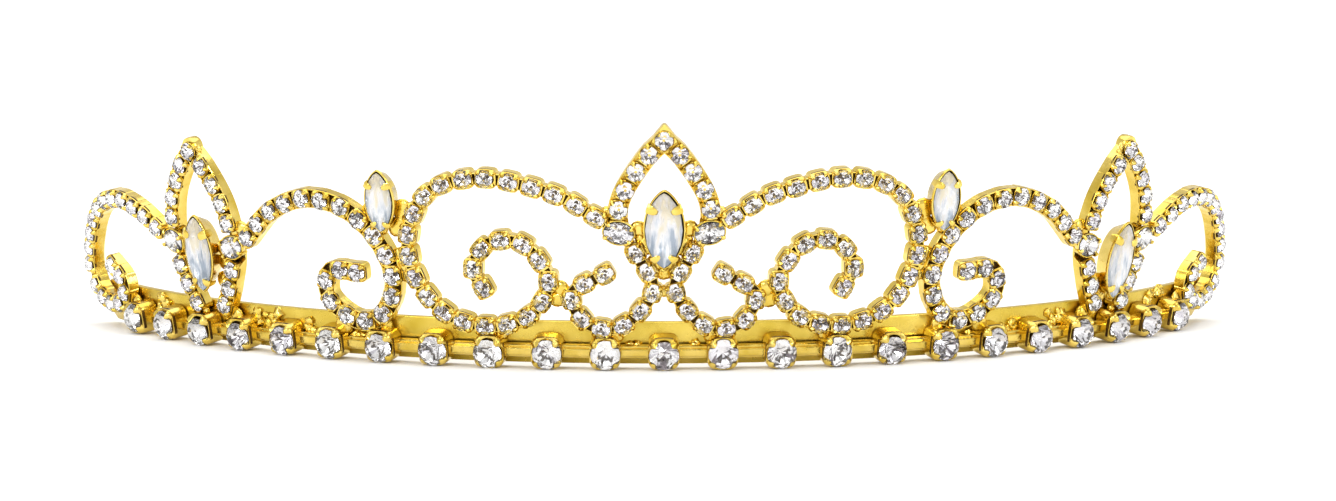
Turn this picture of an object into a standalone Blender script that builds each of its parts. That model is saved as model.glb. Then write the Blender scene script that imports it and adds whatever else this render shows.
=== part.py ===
"""Gold-plated rhinestone tiara.

A strip of brass is bent into an arc that flares outwards as it rises. A row of large cup-set
stones is soldered along its foot, and scrolls of small cup chain stand on top of that row:
a pointed frame and two curls in the middle, a big, a medium and an end scroll on each side,
and a pointed frame between the last two. Seven kinds of piece make it: band, base row, round
stones, chains, marquise settings, oval settings and their stones.

Every place on the tiara is given on the flat sheet that it was bent from: s runs along the
band from its middle, h runs up the sheet from the band's foot, and out is the distance in
front of the band's outer face. The left side repeats the right one with s negative, but for
the side marquises, which were soldered on at different heights.
"""

from itertools import accumulate
from math import atan2, cos, hypot, pi, radians, sin

import bmesh
import bpy
from mathutils import Matrix, Vector

# Lengths below are in millimetres, and the factor MM turns them into metres.
MM = 0.001

# The sheet that everything lies on
FOOT_RADIUS = 79.0
SHEET_RADIUS = 81.0
FLARE = radians(10)

# Band
BAND_THICKNESS = 0.8
BAND_FOOT = 0.1
BAND_TOP = 5.6
BAND_HALF_LENGTH = 93.0
BAND_FACETS = 61
BAND_END_CUT = 1.2

# Row of large stones along the foot
BASE_HALF_COUNT = 11
BASE_PITCH = 7.364
BASE_HEIGHT = 2.0
BASE_CUP = 3.9
BASE_CUP_DEPTH = 2.7
BASE_LINK_HEIGHT = 1.4
BASE_LINK_BACK = 0.5
BASE_LINK_DEPTH = 1.3
BASE_POCKET_RADIUS = 1.76
BASE_POCKET_DEPTH = 1.7
BASE_STONE_RADIUS = 1.72

# Small cup chain
SOLDER_GAP = 0.05
CUP_HALF_LENGTH = 0.9
CUP_HALF_WIDTH = 1.1
CUP_RIM = 1.75
LINK_HALF_WIDTH = 0.75
LINK_FRONT = 1.0
TAB_FRONT = 0.5
STONE_INSET = 0.45
STONE_RISE = 0.5

# Scrolls of the right side, each a smooth line through these places on the sheet
CURL = [(7.3, 12.3), (11.4, 9.7), (9.6, 5.8), (5.3, 5.5), (1.35, 10.2), (3.5, 15.1)]
CURL_STONES = 10
BIG_SCROLL = [
    (8.3, 19.7), (13.3, 22.6), (21.8, 24.5), (28.8, 22.6), (32.1, 16.6), (31.2, 10.7),
    (27.6, 6.6), (22.2, 5.2), (16.8, 6.8), (14.3, 11.4), (17.3, 16.0), (21.6, 16.1),
    (23.8, 12.8), (22.6, 10.2),
]
BIG_SCROLL_STONES = 27
MEDIUM_SCROLL = [
    (55.9, 15.1), (51.6, 18.9), (46.0, 20.9), (40.4, 19.7), (36.2, 15.7), (34.5, 10.5),
    (36.5, 6.1), (40.2, 5.2), (44.0, 8.0), (43.4, 11.4), (39.2, 11.5),
]
MEDIUM_SCROLL_STONES = 19
END_SCROLL = [
    (73.3, 14.9), (77.4, 17.0), (82.4, 18.0), (87.7, 16.7), (92.0, 12.9), (94.9, 8.3),
    (93.5, 4.4), (89.4, 3.1), (85.5, 3.9), (84.4, 6.6), (87.4, 8.6),
]
END_SCROLL_STONES = 18

# Pointed frames: half outlines from the point down, as distances from the frame's axis
FRAME_PITCH = 2.68
OVAL_STEP = 3.2
FRAME_STONES_ABOVE_OVAL = 4
CENTRE_FRAME = [(0.0, 29.7), (2.1, 27.5), (4.7, 23.4), (5.6, 20.6), (5.5, 17.8)]
SIDE_FRAME = [(0.0, 25.9), (2.1, 23.6), (4.6, 19.1), (5.5, 13.3), (4.4, 9.2), (2.5, 5.1)]
SIDE_FRAME_AXIS = 64.3
SIDE_FRAME_STONES_BELOW_OVAL = 3
TIP_HALF_WIDTH = 1.25
TIP_HEIGHT = 2.0
TIP_FOOT = 0.3
TIP_BACK = 0.3
TIP_DEPTH = 1.2

# Marquise and oval settings: half length, half width
LARGE_MARQUISE = (5.15, 2.65)
SMALL_MARQUISE = (4.1, 2.1)
OVAL = (2.1, 1.65)
MARQUISE_STEPS = 10
MARQUISE_FULLNESS = 2.7
OVAL_SIDES = 14
MARQUISE_DEPTH = 2.6
OVAL_DEPTH = 1.9
SETTING_TAPER = 0.78
SETTING_WALL = 0.22
SETTING_FLOOR = 0.9
CLAW_RISE = 0.45
GIRDLE = 0.25
GIRDLE_BELOW_RIM = 0.3
STONE_CLEARANCE = 0.05
CULET_SHARE = 0.35
TABLE_SHARE = 0.55
CROWN_HEIGHT = 0.7

# Middles of the settings on the sheet, with their tilt from upright
CENTRE_MARQUISE = (0.0, 18.4, 0.0)
JUNCTION_MARQUISE = (35.1, 21.3, 0.0)
SIDE_MARQUISES = {"left": (SIDE_FRAME_AXIS, 12.5, 0.0), "right": (64.8, 11.2, radians(-7))}
OVAL_TILT = radians(12)

GOLD = ((0.80, 0.52, 0.12, 1.0), 1.0, 0.16)
BAND_GOLD = ((0.78, 0.53, 0.16, 1.0), 1.0, 0.22)
CRYSTAL = ((0.93, 0.94, 0.97, 1.0), 0.0, 0.03)

SIDES = (("left", -1), ("right", 1))


def clear_scene():
    for thing in list(bpy.data.objects):
        bpy.data.objects.remove(thing, do_unlink=True)


def make_material(name, finish):
    colour, metallic, roughness = finish
    material = bpy.data.materials.new(name)
    material.use_nodes = True
    shader = material.node_tree.nodes["Principled BSDF"]
    shader.inputs["Base Color"].default_value = colour
    shader.inputs["Metallic"].default_value = metallic
    shader.inputs["Roughness"].default_value = roughness
    material.diffuse_color = colour
    return material


def on_sheet(s, h, out=0.0):
    """The point in space, in metres, of a place on the bent and flared sheet."""
    turn = s / SHEET_RADIUS
    radius = FOOT_RADIUS + h * sin(FLARE) + out * cos(FLARE)
    height = h * cos(FLARE) - out * sin(FLARE)
    return Vector((radius * sin(turn), -radius * cos(turn), height)) * MM


def seat(s, h, tilt=0.0):
    """A matrix whose x runs along the sheet, y up it and z out of it, turned by tilt."""
    turn = s / SHEET_RADIUS
    along = Vector((cos(turn), sin(turn), 0.0))
    outwards = Vector((sin(turn), -cos(turn), 0.0))
    up = outwards * sin(FLARE) + Vector((0.0, 0.0, cos(FLARE)))
    front = along.cross(up)
    axes = Matrix((along, up, front)).transposed().to_4x4()
    return Matrix.Translation(on_sheet(s, h)) @ axes @ Matrix.Rotation(tilt, 4, "Z")


def add_object(name, mesh, material, parent, placement=None):
    thing = bpy.data.objects.new(name, mesh)
    bpy.context.scene.collection.objects.link(thing)
    if not mesh.materials:
        mesh.materials.append(material)
    thing.parent = parent
    if placement is not None:
        thing.matrix_local = placement
    return thing


def mesh_from(name, bm, smooth_below=radians(35)):
    bmesh.ops.recalc_face_normals(bm, faces=bm.faces)
    mesh = bpy.data.meshes.new(name)
    bm.to_mesh(mesh)
    bm.free()
    mesh.shade_smooth()
    mesh.set_sharp_from_angle(angle=smooth_below)
    return mesh


def lofted_mesh(name, rings):
    """A closed mesh through rings of equal numbers of points, capped at both ends."""
    bm = bmesh.new()
    loops = [[bm.verts.new(Vector(point) * MM) for point in ring] for ring in rings]
    for lower, upper in zip(loops, loops[1:]):
        for i, start in enumerate(lower):
            j = (i + 1) % len(lower)
            bm.faces.new((start, lower[j], upper[j], upper[i]))
    bm.faces.new(reversed(loops[0]))
    bm.faces.new(loops[-1])
    return mesh_from(name, bm)


# Lines on the sheet


def smooth_line(places, steps=12):
    """Points along a Catmull-Rom curve through the places."""
    first = 2 * Vector(places[0]) - Vector(places[1])
    last = 2 * Vector(places[-1]) - Vector(places[-2])
    knots = [first, *map(Vector, places), last]
    line = []
    for a, b, c, d in zip(knots, knots[1:], knots[2:], knots[3:]):
        for step in range(steps):
            t = step / steps
            line.append(
                0.5 * (2 * b + (c - a) * t + (2 * a - 5 * b + 4 * c - d) * t**2
                       + (3 * b - a - 3 * c + d) * t**3)
            )
    return [*line, Vector(places[-1])]


def line_length(line):
    return sum((b - a).length for a, b in zip(line, line[1:]))


def along_line(line, distance):
    """The place and the heading at a distance along a line of points."""
    for a, b in zip(line, line[1:]):
        step = (b - a).length
        if distance <= step:
            break
        distance -= step
    heading = (b - a).normalized()
    return a + heading * distance, atan2(heading.y, heading.x)


def even_places(places, count):
    line = smooth_line(places)
    pitch = line_length(line) / (count - 1)
    return [along_line(line, pitch * i) for i in range(count)]


def frame_steps(stones_below):
    """Distances from a frame's point to each place below it, and which of them is the oval."""
    above = [FRAME_PITCH] * FRAME_STONES_ABOVE_OVAL
    below = [FRAME_PITCH] * max(stones_below - 1, 0)
    steps = [*above, OVAL_STEP, *([OVAL_STEP] if stones_below else []), *below]
    return list(accumulate(steps)), len(above)


def frame_places(half_outline, axis, stones_below):
    """(place, heading, kind) from the foot of one leg over the point to the foot of the other."""
    line = smooth_line(half_outline)
    distances, oval_index = frame_steps(stones_below)
    right = []
    for index, distance in enumerate(distances):
        place, heading = along_line(line, distance)
        right.append((place, heading, "tab" if index == oval_index else "stone"))
    centre = Vector((axis, 0.0))
    left = [
        (centre + Vector((-place.x, place.y)), -heading, kind)
        for place, heading, kind in reversed(right)
    ]
    top = (centre + Vector(half_outline[0]), 0.0, "stone")
    return [*left, top, *((centre + place, heading, kind) for place, heading, kind in right)]


def mirrored(places):
    return [(Vector((-p.x, p.y)), pi - heading, kind) for p, heading, kind in places]


# Small cup chain


def chain_ring(bm, place, heading, half_width, front):
    """One cross-section of the chain: its two back points, then its two front ones."""
    side = Vector((-sin(heading), cos(heading))) * half_width
    corners = ((place - side, SOLDER_GAP), (place + side, SOLDER_GAP),
               (place + side, front), (place - side, front))
    return [bm.verts.new(on_sheet(p.x, p.y, out)) for p, out in corners]


def halfway(first, second):
    """The place between two stones, heading from one to the other."""
    chord = second[0] - first[0]
    return (first[0] + second[0]) / 2, atan2(chord.y, chord.x)


def chain_mesh(name, places):
    """A ribbon of cups joined by narrow links, each cup closed by its faceted stone."""
    bm = bmesh.new()
    rings = []
    stones = []
    for index, (place, heading, kind) in enumerate(places):
        reach = Vector((cos(heading), sin(heading))) * CUP_HALF_LENGTH
        width = CUP_HALF_WIDTH if kind == "stone" else LINK_HALF_WIDTH
        front = CUP_RIM if kind == "stone" else TAB_FRONT
        if kind == "stone":
            stones.append(len(rings))
        rings.append(chain_ring(bm, place - reach, heading, width, front))
        rings.append(chain_ring(bm, place + reach, heading, width, front))
        if index + 1 < len(places):
            middle, chord_heading = halfway((place,), places[index + 1])
            tab_near = "tab" in (kind, places[index + 1][2])
            front = TAB_FRONT if tab_near else LINK_FRONT
            rings.append(chain_ring(bm, middle, chord_heading, LINK_HALF_WIDTH, front))
    tops = []
    for index, (lower, upper) in enumerate(zip(rings, rings[1:])):
        for i in range(4):
            j = (i + 1) % 4
            face = bm.faces.new((lower[i], lower[j], upper[j], upper[i]))
            if i == 2 and index in stones:
                tops.append(face)
    bm.faces.new(reversed(rings[0]))
    bm.faces.new(rings[-1])
    bmesh.ops.recalc_face_normals(bm, faces=bm.faces)
    bmesh.ops.inset_individual(
        bm, faces=tops, thickness=STONE_INSET * MM, depth=STONE_RISE * MM,
        use_even_offset=True,
    )
    return mesh_from(name, bm)


def add_frame_tip(frame, axis, top):
    """Joins a small gold point to the top of a pointed frame."""
    outline = [(-TIP_HALF_WIDTH, TIP_FOOT), (TIP_HALF_WIDTH, TIP_FOOT), (0.0, TIP_HEIGHT)]
    rings = [[(x, y, z) for x, y in outline] for z in (TIP_BACK, TIP_BACK + TIP_DEPTH)]
    tip = add_object(
        f"{frame.name}_tip", lofted_mesh("frame_tip", rings), None, frame.parent,
        seat(axis, top),
    )
    tip.hide_render = True
    tip.display_type = "WIRE"
    join = frame.modifiers.new("join_tip", "BOOLEAN")
    join.operation = "UNION"
    join.object = tip


# Band and base row


def build_band(root, material):
    """The strip, with its ends cut at the corners, as cross-sections along its length."""
    bm = bmesh.new()
    inner = -BAND_THICKNESS
    stops = [BAND_HALF_LENGTH * (2 * i / BAND_FACETS - 1) for i in range(BAND_FACETS + 1)]
    cut = BAND_HALF_LENGTH + BAND_END_CUT
    sections = [(s, 0.0) for s in stops]
    sections = [(-cut, BAND_END_CUT), *sections, (cut, BAND_END_CUT)]
    rings = []
    for s, trim in sections:
        corners = ((BAND_FOOT + trim, inner), (BAND_TOP - trim, inner),
                   (BAND_TOP - trim, 0.0), (BAND_FOOT + trim, 0.0))
        rings.append([bm.verts.new(on_sheet(s, h, out)) for h, out in corners])
    for lower, upper in zip(rings, rings[1:]):
        for i in range(4):
            j = (i + 1) % 4
            bm.faces.new((lower[i], lower[j], upper[j], upper[i]))
    bm.faces.new(reversed(rings[0]))
    bm.faces.new(rings[-1])
    add_object("headband", mesh_from("headband", bm), material, root)


def base_places():
    return [BASE_PITCH * n for n in range(-BASE_HALF_COUNT, BASE_HALF_COUNT + 1)]


def base_ring(bm, s, half_height, back, front):
    low, high = BASE_HEIGHT - half_height, BASE_HEIGHT + half_height
    corners = ((low, back), (high, back), (high, front), (low, front))
    return [bm.verts.new(on_sheet(s, h, out)) for h, out in corners]


def build_base_row(root, material):
    """Cups joined by flat links, with a round pocket cut into each cup for its stone."""
    bm = bmesh.new()
    rings = []
    half = BASE_CUP / 2
    link_front = BASE_LINK_BACK + BASE_LINK_DEPTH
    places = base_places()
    for index, s in enumerate(places):
        if index:
            rings.append(base_ring(bm, s - half, BASE_LINK_HEIGHT / 2, BASE_LINK_BACK, link_front))
        rings.append(base_ring(bm, s - half, half, SOLDER_GAP, BASE_CUP_DEPTH))
        rings.append(base_ring(bm, s + half, half, SOLDER_GAP, BASE_CUP_DEPTH))
        if index + 1 < len(places):
            rings.append(base_ring(bm, s + half, BASE_LINK_HEIGHT / 2, BASE_LINK_BACK, link_front))
    for lower, upper in zip(rings, rings[1:]):
        for i in range(4):
            j = (i + 1) % 4
            bm.faces.new((lower[i], lower[j], upper[j], upper[i]))
    bm.faces.new(reversed(rings[0]))
    bm.faces.new(rings[-1])
    row = add_object("base_row", mesh_from("base_row", bm), material, root)
    cutter_mesh = bmesh.new()
    for s in places:
        middle = BASE_CUP_DEPTH + SOLDER_GAP
        bmesh.ops.create_cone(
            cutter_mesh, cap_ends=True, segments=12,
            radius1=BASE_POCKET_RADIUS * MM, radius2=BASE_POCKET_RADIUS * MM,
            depth=2 * BASE_POCKET_DEPTH * MM,
            matrix=seat(s, BASE_HEIGHT) @ Matrix.Translation((0, 0, middle * MM)),
        )
    cutter = add_object("base_pockets", mesh_from("base_pockets", cutter_mesh), None, root)
    cutter.hide_render = True
    cutter.display_type = "WIRE"
    cut = row.modifiers.new("cut_pockets", "BOOLEAN")
    cut.operation = "DIFFERENCE"
    cut.object = cutter


def round_ring(radius, out, sides=12):
    angles = [2 * pi * (i + 0.5) / sides for i in range(sides)]
    return [(radius * cos(a), radius * sin(a), out) for a in angles]


def build_base_stones(root, material):
    """Round stones, one shared mesh: pointed pavilion, girdle, crown and table."""
    low = BASE_CUP_DEPTH - GIRDLE_BELOW_RIM
    pocket_floor = BASE_CUP_DEPTH + SOLDER_GAP - BASE_POCKET_DEPTH
    profile = (
        (CULET_SHARE, pocket_floor + STONE_CLEARANCE),
        (1.0, low),
        (1.0, low + GIRDLE),
        (TABLE_SHARE, low + GIRDLE + CROWN_HEIGHT),
    )
    rings = [round_ring(BASE_STONE_RADIUS * share, out) for share, out in profile]
    mesh = lofted_mesh("base_stone", rings)
    for number, s in enumerate(base_places(), start=1):
        add_object(f"base_stone_{number:02d}", mesh, material, root, seat(s, BASE_HEIGHT))


# Settings for marquise and oval stones


def marquise_outline(half_length, half_width):
    """Two full sides that meet in blunt points at the top and bottom."""
    steps = [2 * i / MARQUISE_STEPS - 1 for i in range(MARQUISE_STEPS)]
    right = [(half_width * (1 - abs(t) ** MARQUISE_FULLNESS), half_length * t) for t in steps]
    return right + [(-x, -y) for x, y in right]


def oval_outline(half_length, half_width):
    angles = [2 * pi * i / OVAL_SIDES for i in range(OVAL_SIDES)]
    return [(half_length * cos(a), half_width * sin(a)) for a in angles]


def scaled(outline, share, out):
    return [(x * share, y * share, out) for x, y in outline]


def setting_mesh(name, outline_of, size, depth, back, claws=False):
    """A tapered open box with a floor; its rim rises into claws at the points."""
    outer = outline_of(*size)
    inner = outline_of(*(part - SETTING_WALL for part in size))
    rise = [CLAW_RISE if claws and hypot(x, y) > 0.9 * size[0] else 0.0 for x, y in outer]
    rings = [
        scaled(outer, SETTING_TAPER, back),
        scaled(outer, 1.0, depth),
        scaled(inner, 1.0, depth),
        scaled(inner, SETTING_TAPER, back + SETTING_FLOOR),
    ]
    for ring in rings[1:3]:
        ring[:] = [(x, y, out + up) for (x, y, out), up in zip(ring, rise)]
    return lofted_mesh(name, rings)


def stone_mesh(name, outline_of, size, depth, back):
    """A faceted stone that fills a setting, from just above its floor to a flat table."""
    outline = outline_of(*(part - SETTING_WALL - STONE_CLEARANCE for part in size))
    floor = back + SETTING_FLOOR
    low = depth - GIRDLE_BELOW_RIM
    reach = (low - floor) / (depth + CLAW_RISE - floor)
    girdle = SETTING_TAPER + (1 - SETTING_TAPER) * reach
    rings = [
        scaled(outline, CULET_SHARE, floor + STONE_CLEARANCE),
        scaled(outline, girdle, low),
        scaled(outline, girdle, low + GIRDLE),
        scaled(outline, TABLE_SHARE, low + GIRDLE + CROWN_HEIGHT),
    ]
    return lofted_mesh(name, rings)


def build_marquises(root, gold, crystal):
    back = SOLDER_GAP
    large, small = (
        [maker(f"{label}_marquise", marquise_outline, size, MARQUISE_DEPTH, back, *extra)
         for maker, extra in ((setting_mesh, (True,)), (stone_mesh, ()))]
        for label, size in (("large", LARGE_MARQUISE), ("small", SMALL_MARQUISE))
    )
    spots = [("centre_marquise", 1, CENTRE_MARQUISE, large)]
    for side, sign in SIDES:
        spots.append((f"junction_marquise_{side}", sign, JUNCTION_MARQUISE, small))
        spots.append((f"side_marquise_{side}", sign, SIDE_MARQUISES[side], large))
    for name, sign, (s, h, tilt), (setting, stone) in spots:
        placement = seat(sign * s, h, tilt)
        add_object(f"{name}_setting", setting, gold, root, placement)
        add_object(f"{name}_stone", stone, crystal, root, placement)


def oval_spots():
    """(name, s, h, sign) of each oval, where the frame lines put them."""
    distances, oval_index = frame_steps(0)
    centre, _ = along_line(smooth_line(CENTRE_FRAME), distances[oval_index])
    flank, _ = along_line(smooth_line(SIDE_FRAME), distances[oval_index])
    spots = []
    for side, sign in SIDES:
        spots.append((f"centre_oval_{side}", sign * centre.x, centre.y, sign))
        for place, way in (("inner", -1), ("outer", 1)):
            s = sign * (SIDE_FRAME_AXIS + way * flank.x)
            spots.append((f"{place}_oval_{side}", s, flank.y, sign * way))
    return spots


def build_ovals(root, gold, crystal):
    back = TAB_FRONT + SOLDER_GAP
    setting = setting_mesh("oval_setting", oval_outline, OVAL, OVAL_DEPTH, back)
    stone = stone_mesh("oval_stone", oval_outline, OVAL, OVAL_DEPTH, back)
    for name, s, h, sign in oval_spots():
        placement = seat(s, h, sign * OVAL_TILT)
        add_object(f"{name}_setting", setting, gold, root, placement)
        add_object(f"{name}_stone", stone, crystal, root, placement)


def build_chains(root, material):
    scrolls = (
        ("centre_curl", CURL, CURL_STONES),
        ("big_scroll", BIG_SCROLL, BIG_SCROLL_STONES),
        ("medium_scroll", MEDIUM_SCROLL, MEDIUM_SCROLL_STONES),
        ("end_scroll", END_SCROLL, END_SCROLL_STONES),
    )
    for name, outline, count in scrolls:
        right = [(place, heading, "stone") for place, heading in even_places(outline, count)]
        for side, sign in SIDES:
            places = right if sign > 0 else mirrored(right)
            mesh = chain_mesh(f"{name}_{side}", places)
            add_object(f"{name}_{side}", mesh, material, root)


def build_frames(root, material):
    frames = [("centre_frame", CENTRE_FRAME, 0.0, 0)]
    for side, sign in SIDES:
        axis = sign * SIDE_FRAME_AXIS
        frames.append((f"side_frame_{side}", SIDE_FRAME, axis, SIDE_FRAME_STONES_BELOW_OVAL))
    for name, half_outline, axis, below in frames:
        places = frame_places(half_outline, axis, below)
        frame = add_object(name, chain_mesh(name, places), material, root)
        add_frame_tip(frame, axis, half_outline[0][1])


def set_on_origin(root):
    """Moves the tiara so that its box stands on the origin, centred left to right and in depth."""
    bpy.context.view_layer.update()
    corners = [
        thing.matrix_world @ vertex.co
        for thing in root.children
        if not thing.hide_render
        for vertex in thing.data.vertices
    ]
    lowest = min(corner.z for corner in corners)
    depths = [corner.y for corner in corners]
    root.location = (0.0, -(min(depths) + max(depths)) / 2, -lowest)
    bpy.context.view_layer.update()


def main():
    clear_scene()
    root = bpy.data.objects.new("tiara", None)
    bpy.context.scene.collection.objects.link(root)
    gold = make_material("cup_gold", GOLD)
    crystal = make_material("crystal", CRYSTAL)
    build_band(root, make_material("band_gold", BAND_GOLD))
    build_base_row(root, gold)
    build_base_stones(root, crystal)
    build_chains(root, gold)
    build_frames(root, gold)
    build_marquises(root, gold, crystal)
    build_ovals(root, gold, crystal)
    set_on_origin(root)


main()
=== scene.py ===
"""Looks of a gold-plated rhinestone tiara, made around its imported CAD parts.

As on the real thing, every place is given on the flat sheet that the tiara was bent from: s runs
along the band from its middle, h runs up the sheet from its foot, and out is the distance in
front of the band's outer face. Lengths are in millimetres until on_sheet turns them into the
frame's metres. The left side repeats the right one with s negative, but for the side
marquises, which were soldered on at different heights.
"""

from collections import namedtuple
from itertools import accumulate
from math import atan2, copysign, cos, hypot, pi, radians, sin
from random import Random

import bmesh
import bpy
from mathutils import Matrix, Vector


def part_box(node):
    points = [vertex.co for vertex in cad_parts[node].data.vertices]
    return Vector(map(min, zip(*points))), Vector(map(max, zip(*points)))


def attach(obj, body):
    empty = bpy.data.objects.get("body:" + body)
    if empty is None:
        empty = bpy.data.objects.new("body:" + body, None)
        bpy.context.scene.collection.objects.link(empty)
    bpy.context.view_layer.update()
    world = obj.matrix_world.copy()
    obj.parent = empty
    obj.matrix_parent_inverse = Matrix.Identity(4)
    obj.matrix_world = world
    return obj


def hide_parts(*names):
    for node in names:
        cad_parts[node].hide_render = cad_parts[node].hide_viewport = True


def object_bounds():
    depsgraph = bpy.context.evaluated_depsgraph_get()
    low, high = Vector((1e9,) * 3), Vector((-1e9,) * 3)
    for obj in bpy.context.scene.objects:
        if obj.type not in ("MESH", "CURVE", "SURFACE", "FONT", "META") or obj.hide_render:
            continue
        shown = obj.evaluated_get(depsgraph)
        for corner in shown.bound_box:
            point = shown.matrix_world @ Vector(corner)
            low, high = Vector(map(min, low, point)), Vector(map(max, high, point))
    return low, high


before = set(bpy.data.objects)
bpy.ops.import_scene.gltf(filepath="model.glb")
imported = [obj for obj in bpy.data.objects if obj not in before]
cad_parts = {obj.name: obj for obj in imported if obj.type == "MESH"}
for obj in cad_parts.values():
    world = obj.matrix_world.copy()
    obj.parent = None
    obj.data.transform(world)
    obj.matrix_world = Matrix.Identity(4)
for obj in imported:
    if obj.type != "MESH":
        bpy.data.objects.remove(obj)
CAD_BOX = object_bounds()

MM = 0.001

# The sheet, as the CAD part has it
FOOT_RADIUS = 79.0
SHEET_RADIUS = 81.0
FLARE = radians(10)
BAND_THICKNESS = 0.8
BAND_FOOT = 0.1
BAND_TOP = 5.6
BAND_HALF_LENGTH = 93.0
BAND_FACETS = 61
BAND_END_CUT = 1.2
BASE_HALF_COUNT = 11
BASE_PITCH = 7.364
BASE_HEIGHT = 2.0
SOLDER_GAP = 0.05

# Lines of the chains, as the CAD part has them
CURL = [(7.3, 12.3), (11.4, 9.7), (9.6, 5.8), (5.3, 5.5), (1.35, 10.2), (3.5, 15.1)]
CURL_STONES = 10
BIG_SCROLL = [
    (8.3, 19.7), (13.3, 22.6), (21.8, 24.5), (28.8, 22.6), (32.1, 16.6), (31.2, 10.7),
    (27.6, 6.6), (22.2, 5.2), (16.8, 6.8), (14.3, 11.4), (17.3, 16.0), (21.6, 16.1),
    (23.8, 12.8), (22.6, 10.2),
]
BIG_SCROLL_STONES = 27
MEDIUM_SCROLL = [
    (55.9, 15.1), (51.6, 18.9), (46.0, 20.9), (40.4, 19.7), (36.2, 15.7), (34.5, 10.5),
    (36.5, 6.1), (40.2, 5.2), (44.0, 8.0), (43.4, 11.4), (39.2, 11.5),
]
MEDIUM_SCROLL_STONES = 19
END_SCROLL = [
    (73.3, 14.9), (77.4, 17.0), (82.4, 18.0), (87.7, 16.7), (92.0, 12.9), (94.9, 8.3),
    (93.5, 4.4), (89.4, 3.1), (85.5, 3.9), (84.4, 6.6), (87.4, 8.6),
]
END_SCROLL_STONES = 18
FRAME_PITCH = 2.68
OVAL_STEP = 3.2
FRAME_STONES_ABOVE_OVAL = 4
CENTRE_FRAME = [(0.0, 29.7), (2.1, 27.5), (4.7, 23.4), (5.6, 20.6), (5.5, 17.8)]
SIDE_FRAME = [(0.0, 25.9), (2.1, 23.6), (4.6, 19.1), (5.5, 13.3), (4.4, 9.2), (2.5, 5.1)]
SIDE_FRAME_AXIS = 64.3
SIDE_FRAME_STONES_BELOW_OVAL = 3
CENTRE_MARQUISE = (0.0, 18.4, 0.0)
JUNCTION_MARQUISE = (35.1, 21.3, 0.0)
SIDE_MARQUISES = {"left": (SIDE_FRAME_AXIS, 12.5, 0.0), "right": (64.8, 11.2, radians(-7))}
LARGE_MARQUISE = (5.15, 2.65)
SMALL_MARQUISE = (4.1, 2.1)
OVAL = (2.1, 1.65)
OVAL_TILT = radians(12)
OVAL_BACK = 0.55

# Settings of the marquises and ovals: taper, wall, rims, floors, and the play round each stone
SETTING_TAPER = 0.78
SETTING_WALL = 0.2
MARQUISE_RIM = 2.5
MARQUISE_FLOOR = 0.6
MARQUISE_POINTEDNESS = 1.4
MARQUISE_PLAY = 0.3
MARQUISE_SLIP = (-0.06, -0.09)
OVAL_RIM = 1.85
OVAL_FLOOR = 0.85
OVAL_PLAY = 0.22

# Claws: the angle of the right one of each pair, its reach and width as shares of half the
# setting's width. An oval has four claws of one reach and width in millimetres
MARQUISE_CLAWS = ((radians(33), 0.5, 0.44), (radians(-50), 0.4, 0.34))
OVAL_CLAW_ANGLES = [radians(a) for a in (38, 142, 218, 322)]
OVAL_CLAW_SIZE = (0.5, 0.5)

SIDES = (("left", -1), ("right", 1))

# The band's rounded edges, and how finely it follows the arc
BAND_EDGE = 0.16
BAND_SECTIONS = 240

# Cups: rounded squares, bored round, whose rims rise into four corner prongs over the stone
Cup = namedtuple("Cup", "half_length half_width power back rim floor bore rise overlap")
SMALL_CUP = Cup(1.27, 1.28, 3.8, 0.1, 1.7, 0.6, 1.1, 0.55, 0.2)
LARGE_CUP = Cup(1.98, 2.08, 3.6, SOLDER_GAP, 2.5, 0.9, 1.82, 0.75, 0.35)
TOP_CUP = SMALL_CUP._replace(half_length=1.24, half_width=1.24, power=2.0)
CUP_SIDES = 32
CUP_GAP = 0.05
LARGE_CUP_RAISE = 0.13
PRONG_HALF_ANGLE = 0.4

# The line of painted shade below a cup's rim, as shares of the rim's height, and the loft levels
# that are painted dark as shade
DARK_LINE = (0.8, 0.96)
DARK_LINE_LEVEL = 2
CUP_DARK_FROM = 6
SETTING_DARK_FROM = 6

# Flat links between the large cups: half height, back and front of each step
LINK_STEPS = ((0.85, 0.45, 1.15), (0.5, 1.1, 1.6))
LINK_EDGE = 0.12
LINK_OVERLAP = 0.25

# Strip that the small cups stand on: a channel whose floor is painted dark as shade on strips that
# no oval breaks
STRIP_FRONT = 1.62
STRIP_TAB_FRONT = 0.5
STRIP_HALF_WIDTH = 0.78
SMOOTH_STRIP_HALF_WIDTH = 1.24
STRIP_EDGE = 0.18
STRIP_WALL = 0.16
STRIP_LIP = 0.05
STRIP_FLOOR = 1.0
STRIP_FLOOR_SIDE = 6
STRIP_STEP = 0.7
STRIP_OVERRUN = 0.75
STRIP_END_WIDTH = 0.72
TAB_REACH = 2.0

# Folded points of the frames: half width, height and upper outline as shares of both
CENTRE_TIP = (1.45, 2.0, ((0.56, 0.6), (0.24, 0.88), (0.09, 0.97)))
SIDE_TIP = (1.35, 1.8, ((0.9, 0.55), (0.62, 0.84), (0.24, 0.97)))
TIP_HOLLOW = 1.3

# Solder: how far apart neighbours may be, and the radii at which small cups, ovals and large
# cups count as touching
SOLDER_REACH = 1.7
SOLDER_OUT = 0.75
SMALL_ROUND = 1.15
OVAL_ROUND = 1.75
LARGE_ROUND = 1.95
BEAD_OVERLAP = 0.5
BEAD_HALF_WIDTHS = (0.55, 0.75)
BEAD_SPREAD = 0.35
BEAD_HALF_DEPTHS = (0.5, 0.65)
LUMP_SIZES = (0.35, 0.85)
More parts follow.
